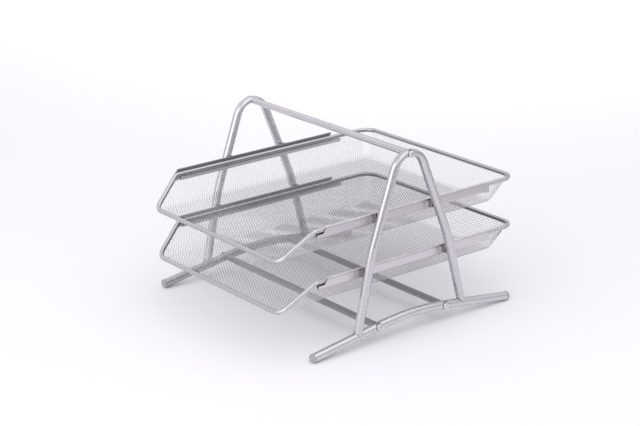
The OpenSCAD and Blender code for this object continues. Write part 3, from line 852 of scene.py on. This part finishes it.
def mesh_sheet():
    """Expanded metal: one diamond hole after another, each with strands to its neighbours, folded into the tray's shape."""
    a, b = LONG_WAY / 2 * 0.91, SHORT_WAY / 2 * 0.905
    thick, tilt = 0.30, 0.03
    ni = int((FLOOR_X + SIDE_L + 8) / (LONG_WAY / 2))
    j0, j1 = int(-178 / (SHORT_WAY / 2)), int((FLOOR_REAR + REAR_L + 6) / (SHORT_WAY / 2))
    ii, jj = np.meshgrid(np.arange(-ni, ni + 1), np.arange(j0, j1 + 1), indexing="ij")
    ok = (ii + jj) % 2 == 0
    ii, jj = ii[ok], jj[ok]
    s, t = ii * LONG_WAY / 2, jj * SHORT_WAY / 2
    cs, ct = clamp_sheet(s, t)
    ok = np.hypot((cs - s) / LONG_WAY, (ct - t) / SHORT_WAY) < 0.42
    ii, jj, s, t = ii[ok], jj[ok], s[ok], t[ok]
    n = len(ii)
    index = {(i, j): k for k, (i, j) in enumerate(zip(ii.tolist(), jj.tolist()))}

    def at(di, dj):
        return np.array([index.get((i + di, j + dj), -1) for i, j in zip(ii.tolist(), jj.tolist())])

    # corners of each hole: right, far, left, near; the holes are drawn a little wider where the sheet is pressed up into walls
    off = np.array([(a, 0), (0, b), (-a, 0), (0, -b)])
    drawn = 1 + 0.03 * smooth((tray_surface(s, t)[:, 2] + TRAY_H - 2.0) / 6.0)
    ss = (s[:, None] + off[None, :, 0] * drawn[:, None]).ravel()
    tt = (t[:, None] + off[None, :, 1] * drawn[:, None]).ravel()
    lift = np.tile(np.array([0, tilt, 0, -tilt]), n)
    ss, tt = clamp_sheet(ss, tt)
    h = np.arange(n) * 4
    ur, ul, rr, dr = at(1, 1), at(-1, 1), at(2, 0), at(1, -1)
    R, T, L, B = 0, 1, 2, 3
    top = []
    k = ur >= 0
    top.append(np.stack([h[k] + R, ur[k] * 4 + B, ur[k] * 4 + L, h[k] + T], -1))
    k = ul >= 0
    top.append(np.stack([h[k] + T, ul[k] * 4 + R, ul[k] * 4 + B, h[k] + L], -1))
    k = (rr >= 0) & (ur >= 0) & (dr >= 0)
    top.append(np.stack([h[k] + R, dr[k] * 4 + T, rr[k] * 4 + L, ur[k] * 4 + B], -1))
    kind = np.concatenate([np.full(len(q), i) for i, q in enumerate(top)])
    top = np.vstack(top)
    # drop what the outline has squeezed flat
    flat = np.stack([ss, tt], -1)
    area = 0.5 * np.abs(np.cross(flat[top[:, 2]] - flat[top[:, 0]], flat[top[:, 3]] - flat[top[:, 1]]))
    top, kind = top[area > 0.06], kind[area > 0.06]
    # thickness, along the sheet's own normal
    e = 0.05
    p = tray_surface(ss, tt)
    nrm = np.cross(tray_surface(ss + e, tt) - tray_surface(ss - e, tt), tray_surface(ss, tt + e) - tray_surface(ss, tt - e))
    nrm /= np.linalg.norm(nrm, axis=1, keepdims=True)
    up = p + nrm * (thick / 2 + lift)[:, None]
    down = p + nrm * (-thick / 2 + lift)[:, None]
    nv = n * 4
    # edges of the upper side that have no second face get a wall down to the lower side
    ed = np.vstack([np.stack([top[:, i], top[:, (i + 1) % 4]], -1) for i in range(4)])
    key = ed[:, 0].astype(np.int64) * nv + ed[:, 1]
    back = ed[:, 1].astype(np.int64) * nv + ed[:, 0]
    open_edge = ed[~np.isin(key, back)]
    wall = np.stack([open_edge[:, 1], open_edge[:, 0], open_edge[:, 0] + nv, open_edge[:, 1] + nv], -1)
    faces = [top, top[:, ::-1] + nv, wall]
    v = np.vstack([up, down])
    # flat layout of the sheet for baking; the lower side is drawn in towards the holes so that the walls keep some width
    cen = np.repeat(np.stack([s, t], -1), 4, 0)
    low = flat + (cen - flat) * 0.3
    uv = np.vstack([flat, low])
    uv = (uv - uv.min(0)) / (uv.max(0) - uv.min(0)).max() * 0.98 + 0.01
    used = np.zeros(len(v), bool)
    for f in faces:
        used[f.ravel()] = True
    new = np.cumsum(used) - 1
    # which way each face's strand runs: 0 and 1 for the two slants, 2 for the bonds between them
    pair = (open_edge % 4).sum(1) % 4
    kind = np.concatenate([kind, kind, np.where(pair == 1, 0, np.where(pair == 3, 1, 2))])
    return v[used], [new[f] for f in faces], uv[used], kind


def weld_line(step, turn):
    """Where the sheet meets the rim wire: path of the wire, normal of the sheet, the way down it, and its distance from the wire's middle."""
    path, tag = rim_path(step, turn)
    w = unit([FRONT_X - RIM_X, FRONT_Y - DROP_Y, -TRAY_H])
    sn = np.array([-SIDE_G[2], 0, SIDE_G[0]])
    rn = np.array([0, -REAR_G[2], REAR_G[1]])
    mir = np.array([-1.0, 1, 1])
    inc = np.cross(w, sn)
    runs = {0.5: (sn, -SIDE_G, 1.70), 1.5: (sn, inc, 1.66), 2.5: (np.array([0, 0, 1.0]), np.array([0, 1.0, 0]), 0.0),
            3.5: (sn * mir, inc * mir, 1.66), 4.5: (sn * mir, -SIDE_G * mir, 1.70), 5.5: (rn, -REAR_G, 1.65)}
    n, d, o = [], [], []
    for i, q in tag:
        if i != int(i):
            a = b = runs[i]
            q = 0.0
        else:
            a, b = runs[(i - 0.5) % 6], runs[i + 0.5]
        n.append(unit(a[0] * (1 - q) + b[0] * q))
        d.append(unit(a[1] * (1 - q) + b[1] * q))
        o.append(a[2] * (1 - q) + b[2] * q)
    return path, np.array(n), np.array(d), np.array(o)[:, None]


def rim_mesh():
    """Rim wire, with the low collar of its butt weld in the middle of the rear run; painted shade along the line where
    the sheet is welded on, weaker towards the front, and on the underside of the front run.
    """
    path, n, d, o = weld_line(3.0, 3.0)
    back = path[:, 1] > REAR_Y - 0.01
    r = np.full(len(path), RIM_R)
    r += 0.22 * np.exp(-(path[:, 0] / 2.2) ** 2) * back
    v, f = sweep(path, r, r, [0, 0, 1], 32, closed=True)
    weld = (n * o + d * np.sqrt(RIM_R ** 2 - o ** 2)) / RIM_R
    around = (v - np.repeat(path, 32, 0)) / RIM_R
    near = (around * np.repeat(weld, 32, 0)).sum(1)
    slope = smooth((-path[:, 1] + DROP_Y - 2) / 4.0)
    dark = smooth((near - 0.40) / 0.35) * np.repeat(1 - 0.35 * slope, 32)
    under = 0.3 * smooth((around @ np.array([0, -0.6, -0.8]) - 0.25) / 0.5) * np.repeat(smooth((-path[:, 2] - TRAY_H + 3) / 2.0), 32)
    return v, f, dark, under


def hem_mesh():
    """Solid selvedge of the sheet, where it is welded to the inner side of the rim wire."""
    path, n, d, o = weld_line(3.0, 4.0)
    t0 = np.sqrt(RIM_R ** 2 - o ** 2) - 0.35
    t1 = t0 + 0.8
    half = 0.26
    rows = [path + n * (o + half) + d * t0, path + n * (o + half) + d * (t1 - 0.2), path + n * (o + half * 0.4) + d * t1,
            path + n * (o - half * 0.4) + d * t1, path + n * (o - half) + d * (t1 - 0.2), path + n * (o - half) + d * t0]
    v = np.stack(rows, 1).reshape(-1, 3)
    return v, [grid_quads(len(path), 6, True)]


RIM_SHAPE = rim_mesh()
SHEET_V, SHEET_F, SHEET_UV, SHEET_KIND = mesh_sheet()
SHEET_C = np.vstack([SHEET_V[f].mean(1) for f in SHEET_F])
HEM_SHAPE = hem_mesh()

for tier, z in RIM_Z.items():
    body, up = tier + "_tray", np.array([0, 0, z])
    v, f, dark, under = RIM_SHAPE
    # painted shade along the weld line, stronger on the lower tier's wire
    piece(f"rim_wire_{tier}_look", v + up, outward(v, f), WIRE, body, "rim_wire", f"rim_wire_{tier}", 60,
          shade=np.maximum(dark * (0.82 if tier == "lower" else 0.45), under))
    # painted light and shade on the strands: one slant stays near black, the other slant and the bonds lighter, more so
    # towards the front; the walls are lightest on the near side, less on the far side, and on the lower tray less again
    # on the far side and least on the rear wall
    x, y, zc = SHEET_C.T
    wall = smooth((zc + TRAY_H - 0.6) / 3.0)
    front = smooth((-75 - y) / 50.0)
    painted_strand_tone = np.choose(SHEET_KIND, [np.zeros(len(y)), 0.5 + 0.5 * front, 0.3 + 0.5 * front])
    side = np.where(x < 0, 0.5 if tier == "lower" else 0.85, 1.0)
    if tier == "lower":
        side += (0.15 - side) * smooth((y - FLOOR_REAR) / 4.0)
    painted_strand_tone += (side - painted_strand_tone) * wall
    piece(f"mesh_basket_{tier}_look", SHEET_V + up, SHEET_F, MESH, body, "mesh", f"mesh_basket_{tier}", 0, uv=SHEET_UV, shade=painted_strand_tone)
    v, f = HEM_SHAPE
    piece(f"mesh_hem_{tier}_look", v + up, outward(v, f), HEM, body, "mesh", f"mesh_basket_{tier}", 50)


# ---- studio

def floor():
    n = 64
    th = np.arange(n) * 2 * math.pi / n
    rings = [0.6, 2.0, 6.0, 16.0]
    v = [(0, 0, 0)] + [(r * math.cos(a), r * math.sin(a), 0) for r in rings for a in th]
    f = [(0, 1 + j, 1 + (j + 1) % n) for j in range(n)]
    for k in range(len(rings) - 1):
        f += [(1 + k * n + j, 1 + (k + 1) * n + j, 1 + (k + 1) * n + (j + 1) % n, 1 + k * n + (j + 1) % n) for j in range(n)]
    me = bpy.data.meshes.new("floor")
    me.from_pydata(v, [], f)
    ob = bpy.data.objects.new("floor", me)
    bpy.context.scene.collection.objects.link(ob)
    m, nt, sh = new_material("floor_paper")
    co = nt.nodes.new("ShaderNodeTexCoord").outputs["Object"]
    tone = mix(nt, remap(nt, noise(nt, co, 900.0, 2.0), 0.3, 0.7, 0.0, 1.0), (0.935, 0.918, 0.955), (0.955, 0.938, 0.975))
    away = nt.nodes.new("ShaderNodeVectorMath")
    away.operation = "DOT_PRODUCT"
    nt.links.new(co, away.inputs[0])
    away.inputs[1].default_value = (0.728, 0.685, 0.0)
    tone = mix(nt, remap(nt, away.outputs["Value"], 0.48, 0.80, 0.0, 1.0), tone, (0.62, 0.61, 0.635))
    nt.links.new(tone, sh.inputs["Base Color"])
    sh.inputs["Roughness"].default_value = 0.75
    sh.inputs["Specular IOR Level"].default_value = 0.2
    me.materials.append(m)


def area(name, at, to, size, power, spread=180):
    la = bpy.data.lights.new(name, "AREA")
    la.shape = "RECTANGLE"
    la.size, la.size_y = size
    la.energy = power
    la.spread = math.radians(spread)
    ob = bpy.data.objects.new(name, la)
    bpy.context.scene.collection.objects.link(ob)
    at, to = Vector(at), Vector(to)
    ob.location = at
    ob.rotation_euler = (to - at).to_track_quat("-Z", "Y").to_euler()
    return ob


floor()
area("front_softbox", (0.38, -2.14, 1.11), (0, 0, 0.1), (2.4, 2.0), 19)
area("left_softbox", (-2.05, -0.36, 1.07), (0, 0, 0.1), (2.8, 2.0), 3.5)
area("top_softbox", (0.6, 0.5, 2.2), (0.1, 0.1, 0.1), (2.4, 2.4), 9.2)
area("right_softbox", (1.75, -0.3, 1.75), (0.1, 0.2, 0.05), (1.6, 1.6), 5)
area("rear_softbox", (-1.5, 1.5, 1.8), (-1.5, 1.51, 0.0), (1.6, 1.6), 6.5, 60)

# soft dome, a little darker towards the horizon
world = bpy.data.worlds.new("studio")
bpy.context.scene.world = world
world.use_nodes = True
wt = world.node_tree
bg = wt.nodes["Background"]
bg.inputs["Color"].default_value = (0.97, 0.965, 1.0, 1)
split = wt.nodes.new("ShaderNodeSeparateXYZ")
wt.links.new(wt.nodes.new("ShaderNodeTexCoord").outputs["Generated"], split.inputs[0])
wt.links.new(remap(wt, split.outputs["Z"], 0.0, 0.7, 0.51, 0.83), bg.inputs["Strength"])

cam = bpy.data.cameras.new("camera")
cam.sensor_width = 36.0
cam.sensor_fit = "HORIZONTAL"
cam.lens = 1803.32 * 36.0 / 640.0
cam.clip_start, cam.clip_end = 0.05, 60
eye = bpy.data.objects.new("camera", cam)
bpy.context.scene.collection.objects.link(eye)
az, el, roll = math.radians(53.32), math.radians(18.89), math.radians(-1.64)
back = Vector((math.sin(az) * math.cos(el), -math.cos(az) * math.cos(el), math.sin(el)))
right = (-back).cross(Vector((0, 0, 1))).normalized()
upv = right.cross(-back)
rx, ux = right * math.cos(roll) + upv * math.sin(roll), -right * math.sin(roll) + upv * math.cos(roll)
eye.matrix_world = Matrix(((rx.x, ux.x, back.x, 1.66768), (rx.y, ux.y, back.y, -1.25949), (rx.z, ux.z, back.z, 0.82103), (0, 0, 0, 1)))
bpy.context.scene.camera = eye
bpy.context.scene.view_settings.view_transform = "Standard"
